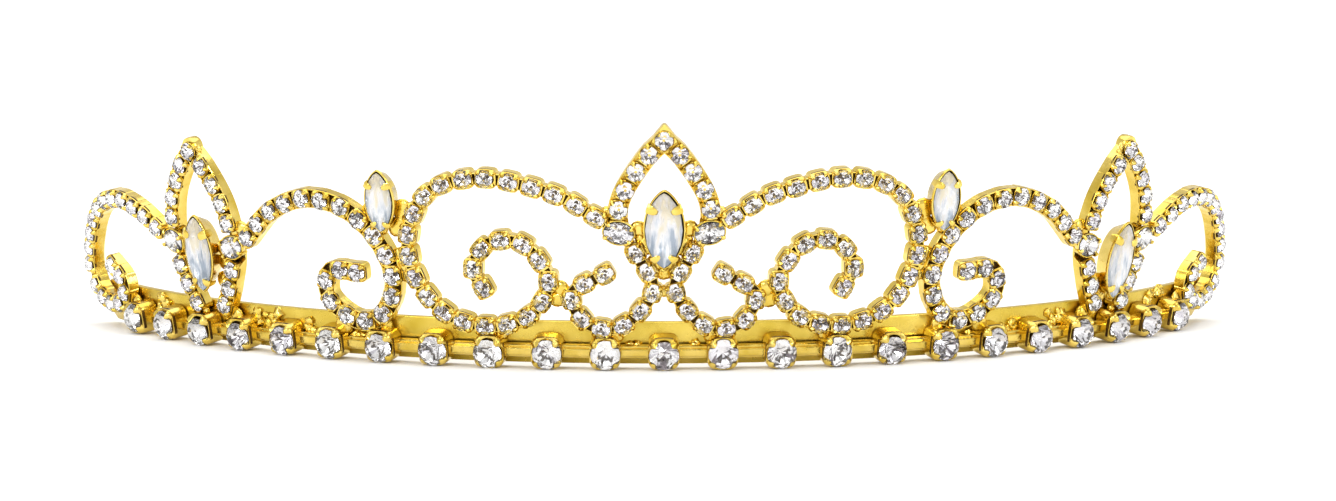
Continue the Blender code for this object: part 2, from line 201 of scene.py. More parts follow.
# Rough patches of solder: s, h, out, half width, half height, number and sizes of their lumps
Patch = namedtuple("Patch", "s h out half_width half_height count sizes", defaults=[LUMP_SIZES])
ROUGH_PATCHES = (
    Patch(4.0, 2.5, 0.1, 1.1, 0.3, 3), Patch(40.6, 2.5, 0.1, 1.1, 0.5, 4),
    Patch(47.9, 3.2, 0.1, 1.1, 0.9, 7), Patch(55.4, 3.7, 0.1, 1.9, 1.1, 12),
    Patch(62.4, 3.7, 0.1, 1.0, 1.0, 5), Patch(77.3, 4.3, 0.1, 2.0, 1.3, 11),
    Patch(0.2, 12.3, 0.7, 0.25, 0.5, 4, (0.5, 0.7)),
    Patch(2.9, 16.8, 0.7, 0.2, 0.25, 2, (0.5, 0.7)),
    Patch(SIDE_FRAME_AXIS - 1.6, 26.0, 1.3, 0.25, 0.9, 7, (0.3, 0.5)),
)

# Round stones: half widths, height and thickness of the girdle, crown height, pavilion depth
Gem = namedtuple("Gem", "half_x half_y girdle_at girdle crown pavilion")
SMALL_GEM = Gem(1.19, 1.19, 1.86, 0.12, 0.5, 0.95)
LARGE_GEM = Gem(1.92, 1.92, 2.72, 0.2, 0.85, 1.5)

# A stone's faces: glass crown, foil pavilion and girdle painted dark as shade, and how its foil
# facets share out between bright foil and the grey and dark foil of painted reflections
GLASS_FACE, FOIL_FACE, GIRDLE_FACE, GREY_REFLECTION_FACE, DARK_REFLECTION_FACE = range(5)
FOIL_TONES = ((FOIL_FACE, 0.86), (GREY_REFLECTION_FACE, 0.09), (DARK_REFLECTION_FACE, 0.05))

# Camera: distance, how far it looks down and stands to the left, lens and sensor
CAMERA_DISTANCE = 0.7
LOOK_DOWN = radians(6.573)
SWING = radians(1.26)
LENS = 150.9
SENSOR = 36.0

# Studio: name, place, size and power of each soft box, and the glow of its walls
SOFTBOXES = (
    ("top_box", (0.0, 0.15, 1.3), (1.8, 1.5), 14.0),
    ("left_box", (-0.7, -0.75, 0.5), (0.2, 0.6), 2.9),
    ("right_box", (0.8, -0.6, 0.4), (0.2, 0.6), 2.7),
    ("sparkle_box", (-0.25, -0.9, 0.55), (0.12, 0.12), 2.4),
)
HORIZON_GLOW = 1.15
ZENITH_GLOW = 0.66
FLOOR_RADIUS = 12.0
FLOOR_SHADE = 0.92


# Places on the sheet


def foot_of_axis():
    """The point of the sheet's axis level with its foot, from the CAD band's box."""
    low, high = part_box("headband")
    middle_facet = BAND_HALF_LENGTH / BAND_FACETS / SHEET_RADIUS
    front = (FOOT_RADIUS + BAND_TOP * sin(FLARE)) * cos(middle_facet) * MM
    return Vector(((low.x + high.x) / 2, low.y + front, low.z - BAND_FOOT * cos(FLARE) * MM))


AXIS_FOOT = foot_of_axis()


def on_sheet(s, h, out=0.0):
    """The point in the frame of a place on the bent and flared sheet."""
    turn = s / SHEET_RADIUS
    radius = FOOT_RADIUS + h * sin(FLARE) + out * cos(FLARE)
    height = h * cos(FLARE) - out * sin(FLARE)
    return Vector((radius * sin(turn), -radius * cos(turn), height)) * MM + AXIS_FOOT


def seat(s, h, tilt=0.0):
    """A matrix whose x runs along the sheet, y up it and z out of it, turned by tilt."""
    turn = s / SHEET_RADIUS
    along = Vector((cos(turn), sin(turn), 0.0))
    outwards = Vector((sin(turn), -cos(turn), 0.0))
    up = outwards * sin(FLARE) + Vector((0.0, 0.0, cos(FLARE)))
    axes = Matrix((along, up, along.cross(up))).transposed().to_4x4()
    return Matrix.Translation(on_sheet(s, h)) @ axes @ Matrix.Rotation(tilt, 4, "Z")


def smooth_line(places, steps=12):
    """Points along a Catmull-Rom curve through the places."""
    first = 2 * Vector(places[0]) - Vector(places[1])
    last = 2 * Vector(places[-1]) - Vector(places[-2])
    knots = [first, *map(Vector, places), last]
    line = []
    for a, b, c, d in zip(knots, knots[1:], knots[2:], knots[3:]):
        for step in range(steps):
            t = step / steps
            line.append(
                0.5 * (2 * b + (c - a) * t + (2 * a - 5 * b + 4 * c - d) * t**2
                       + (3 * b - a - 3 * c + d) * t**3)
            )
    return [*line, Vector(places[-1])]


def line_length(line):
    return sum((b - a).length for a, b in zip(line, line[1:]))


def along_line(line, distance):
    """The place and the heading at a distance along a line of points."""
    for a, b in zip(line, line[1:]):
        step = (b - a).length
        if distance <= step:
            break
        distance -= step
    heading = (b - a).normalized()
    return a + heading * distance, atan2(heading.y, heading.x)


def clipped(line, distance):
    """The part of a line up to a distance along it."""
    kept = [line[0]]
    for a, b in zip(line, line[1:]):
        step = (b - a).length
        if distance < step:
            break
        distance -= step
        kept.append(b)
    return [*kept, a + (b - a).normalized() * distance]


def even_places(places, count):
    line = smooth_line(places)
    pitch = line_length(line) / (count - 1)
    return [along_line(line, pitch * i) for i in range(count)]


def frame_steps(stones_below):
    """Distances from a frame's point to each place below it, and which of them is the oval."""
    above = [FRAME_PITCH] * FRAME_STONES_ABOVE_OVAL
    below = [FRAME_PITCH] * max(stones_below - 1, 0)
    steps = [*above, OVAL_STEP, *([OVAL_STEP] if stones_below else []), *below]
    return list(accumulate(steps)), len(above)


# Meshes


class Shells:
    """The points and faces of the closed shells that make one piece."""

    def __init__(self):
        self.points = []
        self.faces = []
        self.materials = []
        self.tones = []
        self.random = Random(7)

    def add(self, points, faces, materials=None, tone=0.0):
        start = len(self.points)
        self.points += points
        self.faces += [[start + i for i in face] for face in faces]
        self.materials += materials or [0] * len(faces)
        self.tones += tone if isinstance(tone, list) else [tone] * len(points)

    def loft(self, rings, place=None, is_dark=lambda level, side: False):
        """A closed skin over rings of equal numbers of points, capped at both ends.

        Faces that is_dark picks by their level and side take the second material.
        """
        count = len(rings[0])
        points = [Vector(p) for ring in rings for p in ring]
        if place is not None:
            points = [place @ (p * MM) for p in points]
        faces, materials = [], []
        for level in range(len(rings) - 1):
            low, high = level * count, (level + 1) * count
            for i in range(count):
                j = (i + 1) % count
                faces.append((low + i, low + j, high + j, high + i))
                materials.append(int(is_dark(level, i)))
        faces.append(tuple(reversed(range(count))))
        faces.append(tuple(range(high, high + count)))
        materials += [0, int(is_dark(len(rings) - 1, 0))]
        self.add(points, faces, materials)


def add_piece(name, shells, materials, nodes=(), smooth_below=radians(38)):
    """Makes one object of the shells, on the CAD body, in place of the CAD nodes."""
    mesh = bpy.data.meshes.new(name)
    mesh.from_pydata(shells.points, [], shells.faces)
    for material in materials:
        mesh.materials.append(material)
    mesh.polygons.foreach_set("material_index", shells.materials)
    tones = mesh.attributes.new("tone", "FLOAT", "POINT")
    tones.data.foreach_set("value", shells.tones)
    bm = bmesh.new()
    bm.from_mesh(mesh)
    bmesh.ops.recalc_face_normals(bm, faces=bm.faces)
    bm.to_mesh(mesh)
    bm.free()
    if smooth_below:
        mesh.shade_smooth()
        mesh.set_sharp_from_angle(angle=smooth_below)
    else:
        mesh.shade_flat()
    thing = bpy.data.objects.new(name, mesh)
    bpy.context.scene.collection.objects.link(thing)
    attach(thing, "root")
    if nodes:
        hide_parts(*nodes)
    return thing


# Materials


def node_material(name):
    material = bpy.data.materials.new(name)
    material.use_nodes = True
    return material, material.node_tree, material.node_tree.nodes["Principled BSDF"]


def add_node(tree, kind, inputs=(), **settings):
    node = tree.nodes.new(kind)
    for key, value in settings.items():
        setattr(node, key, value)
    for key, value in dict(inputs).items():
        node.inputs[key].default_value = value
    return node


def noise(tree, coordinates, scale, detail=3.0, roughness=0.5):
    node = add_node(tree, "ShaderNodeTexNoise",
                    {"Scale": scale, "Detail": detail, "Roughness": roughness})
    tree.links.new(coordinates, node.inputs["Vector"])
    return node.outputs["Fac"]


def ramp(tree, source, stops):
    node = add_node(tree, "ShaderNodeValToRGB")
    elements = node.color_ramp.elements
    while len(elements) < len(stops):
        elements.new(0.5)
    for element, (position, colour) in zip(elements, stops):
        element.position = position
        element.color = (*colour, 1.0)
    tree.links.new(source, node.inputs["Fac"])
    return node.outputs["Color"]


def in_range(tree, source, low, high, start=0.3, end=0.7):
    node = add_node(tree, "ShaderNodeMapRange",
                    {"From Min": start, "From Max": end, "To Min": low, "To Max": high})
    tree.links.new(source, node.inputs["Value"])
    return node.outputs["Result"]


def bump(tree, source, shader, distance, strength):
    node = add_node(tree, "ShaderNodeBump", {"Strength": strength, "Distance": distance})
    tree.links.new(source, node.inputs["Height"])
    tree.links.new(node.outputs["Normal"], shader.inputs["Normal"])


def gold_material(name, colours, roughness, patch, grain, grain_depth):
    """Plated brass: uneven colour and polish in soft patches, with a fine cast grain."""
    material, tree, shader = node_material(name)
    where = add_node(tree, "ShaderNodeTexCoord").outputs["Object"]
    patches = noise(tree, where, patch)
    tree.links.new(ramp(tree, patches, colours), shader.inputs["Base Color"])
    polish = noise(tree, where, patch * 2.7, 2.0)
    tree.links.new(in_range(tree, polish, *roughness), shader.inputs["Roughness"])
    bump(tree, noise(tree, where, grain, 2.0), shader, grain_depth, 1.0)
    shader.inputs["Metallic"].default_value = 1.0
    return material


def painted_shade_material(name):
    """Painted shade: dark brown-gold put inside the cups and settings, on the line below each
    cup's rim, on the scroll strips' floors and on the stones' girdles, where shade falls.
    """
    material, tree, shader = node_material(name)
    where = add_node(tree, "ShaderNodeTexCoord").outputs["Object"]
    shade_noise = noise(tree, where, 1100.0)
    colour = ramp(tree, shade_noise, [(0.35, (0.035, 0.018, 0.004)), (0.7, (0.16, 0.09, 0.015))])
    tree.links.new(colour, shader.inputs["Base Color"])
    tree.links.new(in_range(tree, shade_noise, 0.35, 0.6), shader.inputs["Roughness"])
    shader.inputs["Metallic"].default_value = 0.7
    return material


def crystal_material(name):
    """Clear glass of a stone's crown, faintly clouded, its tint a little different in each."""
    material, tree, shader = node_material(name)
    where = add_node(tree, "ShaderNodeTexCoord").outputs["Object"]
    haze = noise(tree, where, 900.0)
    tree.links.new(in_range(tree, haze, 0.0, 0.03), shader.inputs["Roughness"])
    tone = add_node(tree, "ShaderNodeAttribute", attribute_name="tone").outputs["Fac"]
    tint = ramp(tree, tone, [(0.0, (1.0, 1.0, 1.0)), (0.6, (0.99, 0.98, 1.0)),
                             (1.0, (0.96, 0.94, 0.99))])
    tree.links.new(tint, shader.inputs["Base Color"])
    shader.inputs["Transmission Weight"].default_value = 1.0
    shader.inputs["IOR"].default_value = 1.56
    return material


def foil_material(name, dim_colour, bright_colour):
    """Silver foil behind a stone's pavilion, seen through the glass; its grey and dark copies are
    painted reflections, and noise mottles each between its two colours.
    """
    material, tree, shader = node_material(name)
    where = add_node(tree, "ShaderNodeTexCoord").outputs["Object"]
    mottle = noise(tree, where, 1400.0)
    colour = ramp(tree, mottle, [(0.3, dim_colour), (0.7, bright_colour)])
    tree.links.new(colour, shader.inputs["Base Color"])
    tree.links.new(in_range(tree, mottle, 0.03, 0.12), shader.inputs["Roughness"])
    shader.inputs["Metallic"].default_value = 0.85
    return material


def reflection_painted_foil_material(name):
    """Satin foil of the long stones, with painted reflections from foot to top: blue-grey at the
    foot, white above, gold-tinged on top.
    """
    material, tree, shader = node_material(name)
    tone = add_node(tree, "ShaderNodeAttribute", attribute_name="tone").outputs["Fac"]
    where = add_node(tree, "ShaderNodeTexCoord").outputs["Object"]
    stretched = add_node(tree, "ShaderNodeMapping", {"Scale": (1.0, 1.0, 0.16)})
    tree.links.new(where, stretched.inputs["Vector"])
    streaks = noise(tree, stretched.outputs["Vector"], 1500.0, 2.0)
    shifted = add_node(tree, "ShaderNodeMath", operation="ADD")
    tree.links.new(in_range(tree, streaks, -0.45, 0.45), shifted.inputs[0])
    tree.links.new(tone, shifted.inputs[1])
    colour = ramp(tree, shifted.outputs["Value"],
                  [(0.05, (0.42, 0.50, 0.60)), (0.3, (0.86, 0.90, 0.94)),
                   (0.5, (1.0, 1.0, 1.0)), (0.95, (0.97, 0.89, 0.66))])
    tree.links.new(colour, shader.inputs["Base Color"])
    tree.links.new(in_range(tree, streaks, 0.18, 0.34), shader.inputs["Roughness"])
    shader.inputs["Metallic"].default_value = 0.2
    return material


# Cups and stones


def rounded_square(half_x, half_y, power, sides=CUP_SIDES):
    points = []
    for k in range(sides):
        x, y = cos(2 * pi * k / sides), sin(2 * pi * k / sides)
        points.append((half_x * copysign(abs(x) ** (2 / power), x),
                       half_y * copysign(abs(y) ** (2 / power), y)))
    return points


def prong_share(k, sides=CUP_SIDES):
    """1 in the middle of a corner prong, 0 outside it."""
    from_corner = abs((2 * pi * k / sides) % (pi / 2) - pi / 4)
    return max(0.0, 1 - (from_corner / PRONG_HALF_ANGLE) ** 2)


def cup_rings(cup):
    """From the back, up the outer wall, over the rim and its prongs, down to the floor."""
    outer = (  # inset, height, share of the prongs' rise and of their lean
        (0.22, cup.back, 0.0, 0.0),
        (0.0, cup.back + 0.15, 0.0, 0.0),
        *((0.0, share * cup.rim, 0.0, 0.0) for share in DARK_LINE),
        (0.02, cup.rim, 0.55, 0.15),
        (0.05, cup.rim + 0.04, 0.95, 0.55),
    )
    inner = (  # radius, height, share of the prongs' rise and of their overlap
        (cup.bore, cup.rim, 1.0, 1.0),
        (cup.bore, cup.rim - 0.1, 0.45, 0.4),
        (cup.bore, cup.floor + 0.2, 0.0, 0.0),
        (cup.bore - 0.27, cup.floor, 0.0, 0.0),
    )
    outline = rounded_square(cup.half_length, cup.half_width, cup.power)
    prongs = [prong_share(k) for k in range(CUP_SIDES)]
    rings = []
    for inset, height, rise, lean in outer:
        ring = []
        for (x, y), prong in zip(outline, prongs):
            reach = hypot(x, y)
            lean_in = lean * prong * (reach - cup.bore + cup.overlap)
            share = (reach - inset - lean_in) / reach
            ring.append((x * share, y * share, height + rise * cup.rise * prong))
        rings.append(ring)
    for radius, height, rise, over in inner:
        ring = []
        for k, prong in enumerate(prongs):
            angle = 2 * pi * k / CUP_SIDES
            reach = radius - over * cup.overlap * prong
            ring.append((reach * cos(angle), reach * sin(angle),
                         height + rise * cup.rise * prong))
        rings.append(ring)
    return rings


def dark_in_cup(level, side):
    """Picks the inside of a cup and the line below its rim, between the prongs, for painted shade.
    """
    in_line = level == DARK_LINE_LEVEL and not prong_share(side + 0.5)
    return level >= CUP_DARK_FROM or in_line


# The insides of the settings are painted dark as shade.
def dark_in_setting(level, _side):
    return level >= SETTING_DARK_FROM


# Picks the strip's floor for painted shade.
def dark_in_strip(_level, side):
    return side == STRIP_FLOOR_SIDE


def ring_of(count, gem, share, height, turn=0.0):
    """Points round a stone, at a share of its half width and a height."""
    angles = [2 * pi * (k + turn) / count for k in range(count)]
    return [(gem.half_x * share * cos(a), gem.half_y * share * sin(a), height) for a in angles]


def brilliant(gem):
    """Points, faces and materials of a brilliant cut: crown in glass, pavilion in foil."""
    top = gem.girdle_at + gem.girdle / 2
    low = gem.girdle_at - gem.girdle / 2
    points = [
        *ring_of(8, gem, 0.56, top + gem.crown),
        *ring_of(8, gem, 0.80, top + 0.58 * gem.crown, 0.5),
        *ring_of(16, gem, 1.0, top),
        *ring_of(16, gem, 1.0, low),
        (0.0, 0.0, low - gem.pavilion),
    ]
    table, star, upper, lower, culet = 0, 8, 16, 32, 48
    faces = [tuple(range(8))]
    for k in range(8):
        j = (k + 1) % 8
        corner, half, following = upper + 2 * k, upper + 2 * k + 1, upper + 2 * j
        faces += [
            (table + k, star + k, table + j),
            (table + j, star + k, following, star + j),
            (star + k, corner, half),
            (star + k, half, following),
        ]
    crown_count = len(faces)
    for k in range(16):
        j = (k + 1) % 16
        faces.append((upper + k, lower + k, lower + j, upper + j))
        faces.append((lower + k, culet, lower + j))
    materials = [GLASS_FACE] * crown_count + [GIRDLE_FACE, FOIL_FACE] * 16
    return points, faces, materials


def add_stone(shells, cut, place, tones=None):
    """Adds a stone; one without tones of its own gets painted reflections: each foil facet is
    picked at random among bright, grey and dark foil.
    """
    points, faces, materials = cut
    if not tones:
        choices, shares = zip(*FOIL_TONES)
        materials = [shells.random.choices(choices, shares)[0] if m == FOIL_FACE else m
                     for m in materials]
    shells.add([place @ (Vector(p) * MM) for p in points], faces, materials,
               tones or shells.random.random())


def stone_play(random, turn=pi, tip=radians(4)):
    """The small turn and tilt with which each stone sits in its cup."""
    return (Matrix.Rotation(random.uniform(-turn, turn), 4, "Z")
            @ Matrix.Rotation(random.uniform(-tip, tip), 4, "X")
            @ Matrix.Rotation(random.uniform(-tip, tip), 4, "Y"))


# Strips and chains


def strip_section(place, heading, half_width, front):
    """One cross-section of the strip: a shallow channel, open to the front."""
    side = Vector((-sin(heading), cos(heading)))
    edge = STRIP_EDGE
    half = [
        (half_width - edge, SOLDER_GAP), (half_width, SOLDER_GAP + edge),
        (half_width, front - 0.06), (half_width - STRIP_LIP, front),
        (half_width - STRIP_WALL + STRIP_LIP, front),
        (half_width - STRIP_WALL, front - STRIP_LIP),
        (half_width - STRIP_WALL, min(STRIP_FLOOR, front - 0.15)),
    ]
    outline = half + [(-across, out) for across, out in reversed(half)]
    ring = []
    for across, out in outline:
        p = place + side * across
        ring.append(on_sheet(p.x, p.y, out))
    return ring


def strip(shells, line, half_width, tabs=()):
    """A strip along the line, thin where it passes behind an oval at a tab's distance."""
    length = line_length(line)
    span = length + 2 * STRIP_OVERRUN
    count = round(span / STRIP_STEP)
    rings = []
    for k in range(count + 1):
        distance = span * k / count - STRIP_OVERRUN
        place, heading = along_line(line, min(max(distance, 0.0), length - 1e-6))
        beyond = distance - min(max(distance, 0.0), length)
        place = place + Vector((cos(heading), sin(heading))) * beyond
        near_tab = any(abs(distance - tab) < TAB_REACH for tab in tabs)
        front = STRIP_TAB_FRONT if near_tab else STRIP_FRONT
        narrow = STRIP_END_WIDTH if k in (0, count) else 1.0
        rings.append(strip_section(place, heading, half_width * narrow, front))
    if tabs:
        shells.loft(rings)
    else:
        shells.loft(rings, is_dark=dark_in_strip)


def mirrored_line(line):
    return [Vector((-p.x, p.y)) for p in line]


def mirrored(places):
    return [(Vector((-p.x, p.y)), pi - heading) for p, heading in places]


def frame_tip(shells, place, half_width, height, apex):
    """A folded gold point that caps a frame, open below for the top stone."""
    inside = [(TIP_HOLLOW * sin(a), TIP_HOLLOW * cos(a))
              for a in (radians(d) for d in range(72, -73, -18))]
    half = [(1.2, -0.5 / height), (1.0, 0.35 / height), *apex]
    outline = [*((-x, y) for x, y in half), *reversed(half)]
    outline = [(x * half_width, y * height) for x, y in outline] + inside
    middle = 0.4 * height
    levels = ((0.9, SOLDER_GAP), (1.0, SOLDER_GAP + 0.16), (1.0, 1.35), (0.95, 1.5))
    shells.loft([[(x * share, middle + (y - middle) * share, out) for x, y in outline]
                 for share, out in levels], place)


def add_chain(name, lines, places, half_width, tabs=(), tip=None):
    """A chain's strips and cups as one piece, and its stones as another."""
    metal = Shells()
    if tip:
        frame_tip(metal, *tip)
    stones = Shells()
    stones.random = Random(name)
    for line in lines:
        strip(metal, line, half_width, tabs)
    pitch = (places[2][0] - places[1][0]).length
    rings = cup_rings(SMALL_CUP._replace(half_length=(pitch - CUP_GAP) / 2))
    top_rings = cup_rings(TOP_CUP)
    cut = brilliant(SMALL_GEM)
    for number, (place, heading) in enumerate(places):
        spot = seat(place.x, place.y, heading)
        metal.loft(top_rings if tip and not number else rings, spot, dark_in_cup)
        add_stone(stones, cut, spot @ stone_play(stones.random))
    add_piece(f"{name}_cups", metal, METALS, [name])
    add_piece(f"{name}_stones", stones, CRYSTALS, smooth_below=None)


def build_scrolls():
    scrolls = (
        ("centre_curl", CURL, CURL_STONES, STRIP_HALF_WIDTH),
        ("big_scroll", BIG_SCROLL, BIG_SCROLL_STONES, STRIP_HALF_WIDTH),
        ("medium_scroll", MEDIUM_SCROLL, MEDIUM_SCROLL_STONES, SMOOTH_STRIP_HALF_WIDTH),
        ("end_scroll", END_SCROLL, END_SCROLL_STONES, SMOOTH_STRIP_HALF_WIDTH),
    )
    for name, outline, count, half_width in scrolls:
        line = smooth_line(outline)
        places = even_places(outline, count)
        add_chain(f"{name}_right", [line], places, half_width)
        add_chain(f"{name}_left", [mirrored_line(line)], mirrored(places), half_width)


def build_frame(name, half_outline, axis, stones_below, tip_size):
    line = smooth_line(half_outline)
    distances, oval_index = frame_steps(stones_below)
    short = clipped(line, distances[-1])
    centre = Vector((axis, 0.0))
    right = [along_line(line, d) for i, d in enumerate(distances) if i != oval_index]
    places = [(Vector(half_outline[0]), 0.0), *right, *mirrored(right)]
    places = [(centre + place, heading) for place, heading in places]
    lines = [[centre + p for p in short], [centre + p for p in mirrored_line(short)]]
    tip = (seat(axis, half_outline[0][1]), *tip_size)
    add_chain(name, lines, places, SMOOTH_STRIP_HALF_WIDTH, [distances[oval_index]], tip)


def build_frames():
    build_frame("centre_frame", CENTRE_FRAME, 0.0, 0, CENTRE_TIP)
    for side, sign in SIDES:
        build_frame(f"side_frame_{side}", SIDE_FRAME, sign * SIDE_FRAME_AXIS,
                    SIDE_FRAME_STONES_BELOW_OVAL, SIDE_TIP)


# Band and base row


def build_band():
    """The strip with its edges rolled round and its end corners cut."""
    shells = Shells()
    edge = BAND_EDGE
    back = -BAND_THICKNESS
    stops = [BAND_HALF_LENGTH * (2 * i / BAND_SECTIONS - 1) for i in range(BAND_SECTIONS + 1)]
    cut = BAND_HALF_LENGTH + BAND_END_CUT
    stops = [(-cut, BAND_END_CUT), (-cut + 0.35, 0.5), *((s, 0.0) for s in stops),
             (cut - 0.35, 0.5), (cut, BAND_END_CUT)]
    rings = []
    for s, trim in stops:
        low, high = BAND_FOOT + trim, BAND_TOP - trim
        corners = [
            (low + edge, back), (high - edge, back), (high - 0.3 * edge, back + 0.3 * edge),
            (high, back + edge), (high, -edge), (high - 0.3 * edge, -0.3 * edge),
            (high - edge, 0.0), (low + edge, 0.0), (low + 0.3 * edge, -0.3 * edge),
            (low, -edge), (low, back + edge), (low + 0.3 * edge, back + 0.3 * edge),
        ]
        rings.append([on_sheet(s, h, out) for h, out in corners])
    shells.loft(rings)
    add_piece("headband_strip", shells, [SHADED_BAND_GOLD], ["headband"])


def base_places():
    return [BASE_PITCH * n for n in range(-BASE_HALF_COUNT, BASE_HALF_COUNT + 1)]


def build_base_row():
    """Large cups joined by flat stepped links."""
    metal = Shells()
    rings = cup_rings(LARGE_CUP)
    places = base_places()
    for s in places:
        metal.loft(rings, seat(s, BASE_HEIGHT + LARGE_CUP_RAISE), dark_in_cup)
    reach = LARGE_CUP.half_length - LINK_OVERLAP
    for a, b in zip(places, places[1:]):
        for half_height, back, front in LINK_STEPS:
            outline = [
                (-half_height, back), (half_height, back), (half_height, front - LINK_EDGE),
                (half_height - LINK_EDGE, front), (-half_height + LINK_EDGE, front),
                (-half_height, front - LINK_EDGE),
            ]
            stops = [a + reach + (b - a - 2 * reach) * k / 4 for k in range(5)]
            metal.loft([[on_sheet(s, BASE_HEIGHT + h, out) for h, out in outline]
                        for s in stops])
    add_piece("base_row_cups", metal, METALS, ["base_row"])
    cut = brilliant(LARGE_GEM)
    random = Random(23)
    for number, s in enumerate(places, start=1):
        stone = Shells()
        stone.random = random
        add_stone(stone, cut, seat(s, BASE_HEIGHT) @ stone_play(random))
        add_piece(f"base_gem_{number:02d}", stone, CRYSTALS,
                  [f"base_stone_{number:02d}"], smooth_below=None)


# Marquise and oval settings


def marquise_point(half_length, half_width, angle):
    """A place on an outline with two bowed sides that meet in slightly rounded points."""
    across, up = cos(angle), sin(angle)
    share = copysign(abs(across) ** MARQUISE_POINTEDNESS, across)
    return half_width * share, half_length * up


def oval_point(half_length, half_width, angle):
    return half_length * cos(angle), half_width * sin(angle)


def outline_at(point_of, size, inset, share, height, count, turn=0.0):
    """Points of an outline, its size reduced by the inset and then scaled."""
    ring = []
    for k in range(count):
        x, y = point_of(size[0] - inset, size[1] - inset, 2 * pi * (k + turn) / count)
        ring.append((x * share, y * share, height))
    return ring


def setting_rings(point_of, size, back, rim, floor):
    """From the back, up the flared outer wall, over a rounded rim and down to the floor."""
    levels = (  # inset, share, height
        (0.25, SETTING_TAPER, back),
        (0.02, SETTING_TAPER, back + 0.2),
        (0.0, 0.97, rim - 0.45),
        (-0.02, 1.0, rim - 0.3),
        (0.0, 1.0, rim - 0.08),
        (0.08, 1.0, rim),
        (SETTING_WALL - 0.04, 1.0, rim),
        (SETTING_WALL, 1.0, rim - 0.06),
        (SETTING_WALL + 0.02, 0.97, rim - 0.5),
        (SETTING_WALL + 0.2, SETTING_TAPER, floor),
    )
    return [outline_at(point_of, size, inset, share, height, 40)
            for inset, share, height in levels]


def claw(shells, place, foot, inwards, rim, reach, width):
    """A tapered claw that climbs the wall from its foot and folds over on to the stone."""
    side = Vector((-inwards.y, inwards.x, 0.0))
    path = (  # distance inwards, height over the rim, share of the width, thickness
        (-0.05, -0.95, 0.8, 0.16),
        (-0.09, -0.2, 1.0, 0.2),
        (-0.06, 0.12, 1.0, 0.26),
        (0.3 * reach, 0.4, 0.95, 0.28),
        (0.7 * reach, 0.44, 0.75, 0.24),
        (reach, 0.3, 0.4, 0.16),
    )
    rings = []
    for index, (inward, height, share, thick) in enumerate(path):
        before = path[max(index - 1, 0)]
        after = path[min(index + 1, len(path) - 1)]
        run, rise = after[0] - before[0], after[1] - before[1]
        span = hypot(run, rise)
        normal = inwards * (-rise / span) + Vector((0.0, 0.0, run / span))
        middle = foot + inwards * inward + Vector((0.0, 0.0, rim + height))
        half = side * (width * share / 2)
        lift = normal * (thick / 2)
        rings.append([middle - half - lift, middle + half - lift, middle + half + lift * 0.3,
                      middle + half * 0.55 + lift, middle - half * 0.55 + lift,
                      middle - half + lift * 0.3])
    shells.loft(rings, place)


def add_claws(shells, place, point_of, size, rim, angles, reach, width):
    """Claws at angles round a setting, each square to the outline where it stands."""
    for angle in angles:
        here = Vector((*point_of(*size, angle), 0.0))
        ahead = Vector((*point_of(*size, angle + 0.02), 0.0))
        along = (ahead - here).normalized()
        inwards = Vector((-along.y, along.x, 0.0))
        claw(shells, place, here, inwards, rim, reach, width)


def marquise_cut(size, girdle_at, crown, pavilion):
    """A step cut: long facets in two tiers round a table, and a keel at the back."""
    count = 16
    top, low = girdle_at + 0.06, girdle_at - 0.06
    rings = [
        outline_at(marquise_point, size, 0.0, 0.46, top + crown, count),
        outline_at(marquise_point, size, 0.0, 0.76, top + 0.62 * crown, count),
        outline_at(marquise_point, size, 0.0, 1.0, top, count),
        outline_at(marquise_point, size, 0.0, 1.0, low, count),
        outline_at(marquise_point, size, 0.0, 0.66, low - 0.6 * pavilion, count),
    ]
    points = [p for ring in rings for p in ring]
    faces = [tuple(range(count))]
    materials = [0]
    for level in range(len(rings) - 1):
        for k in range(count):
            j = (k + 1) % count
            a, b = level * count, (level + 1) * count
            faces.append((a + k, b + k, b + j, a + j))
            materials.append(0 if level < 2 else 1)
    keel = len(points)
    reach = 0.5 * size[0]
    points += [(0.0, -reach, low - pavilion), (0.0, reach, low - pavilion)]
    last = 4 * count
    for k in range(count):
        j = (k + 1) % count
        ends = [0 if points[last + i][1] < 0 else 1 for i in (k, j)]
        if abs(points[last + k][1]) < 1e-6:
            ends[0] = ends[1]
        if abs(points[last + j][1]) < 1e-6:
            ends[1] = ends[0]
        faces.append((last + k, keel + ends[0], last + j))
        materials.append(1)
    for k in (0, count // 2):
        faces.append((last + k, keel, keel + 1))
        materials.append(1)
    return points, faces, materials


def build_marquises():
    spots = [("centre_marquise", 1, CENTRE_MARQUISE, LARGE_MARQUISE)]
    for side, sign in SIDES:
        spots.append((f"junction_marquise_{side}", sign, JUNCTION_MARQUISE, SMALL_MARQUISE))
        spots.append((f"side_marquise_{side}", sign, SIDE_MARQUISES[side], LARGE_MARQUISE))
    for name, sign, (s, h, tilt), size in spots:
        place = seat(sign * s, h, tilt)
        metal = Shells()
        rings = setting_rings(marquise_point, size, SOLDER_GAP, MARQUISE_RIM, MARQUISE_FLOOR)
        metal.loft(rings, place, dark_in_setting)
        for angle, reach, width in MARQUISE_CLAWS:
            add_claws(metal, place, marquise_point, size, MARQUISE_RIM, (angle, pi - angle),
                      reach * size[1], width * size[1])
        add_piece(f"{name}_mount", metal, METALS, [f"{name}_setting"])
        stone = Shells()
        inner = [part - MARQUISE_PLAY for part in size]
        cut = marquise_cut(inner, MARQUISE_RIM - 0.02, 0.55, 0.5)
        # Tones that run from the stone's foot to its top, for the foil's painted reflections.
        tones = [0.5 + 0.5 * y / inner[0] for _, y, _ in cut[0]]
        slipped = place @ Matrix.Translation(Vector((*MARQUISE_SLIP, 0.0)) * MM)
        add_stone(stone, cut, slipped, tones)
        add_piece(f"{name}_gem", stone, [GLASS, REFLECTION_PAINTED_FOIL, PAINTED_SHADE],
                  [f"{name}_stone"], smooth_below=None)


